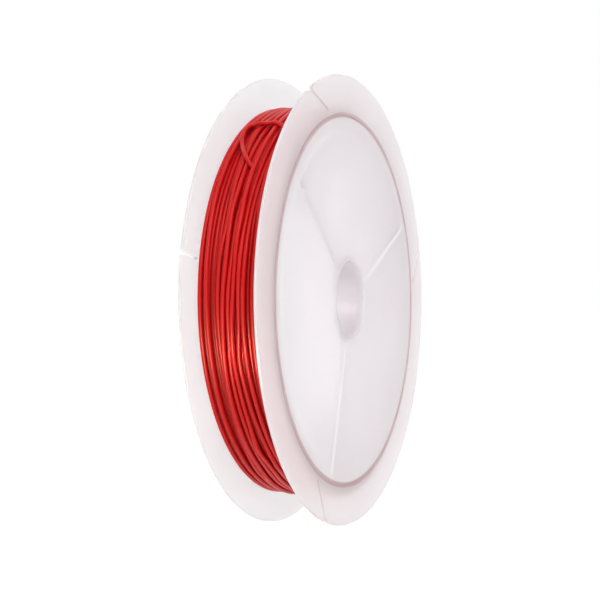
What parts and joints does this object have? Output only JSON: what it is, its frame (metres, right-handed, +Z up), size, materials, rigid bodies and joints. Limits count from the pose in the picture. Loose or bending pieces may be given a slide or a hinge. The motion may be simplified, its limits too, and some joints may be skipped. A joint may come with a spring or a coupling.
{
  "type": "string reel",
  "caption": "Narrow two-flange string reel: a translucent moulded spool pressed together from two halves, with rim slits and a centre bore, wound with red string.",
  "frame": {"origin": "centre of the spindle bore, midway between the two outer faces", "axes": "+Y along the spin axis, from the front flange towards the rear one; +Z up with the reel standing on its two rims; +X to the right when the front face is looked at"},
  "size_m": [0.07, 0.012, 0.07],
  "materials": {
    "natural_polypropylene": "translucent natural moulding with a satin face",
    "red_string": "smooth glossy coating"
  },
  "bodies": {
    "root": {"front_flange_and_drum": "natural_polypropylene", "rear_flange_cover": "natural_polypropylene", "string_inner_layers": "red_string", "string_outer_turns": "red_string", "string_start_knot": "red_string"}
  },
  "joints": []
}
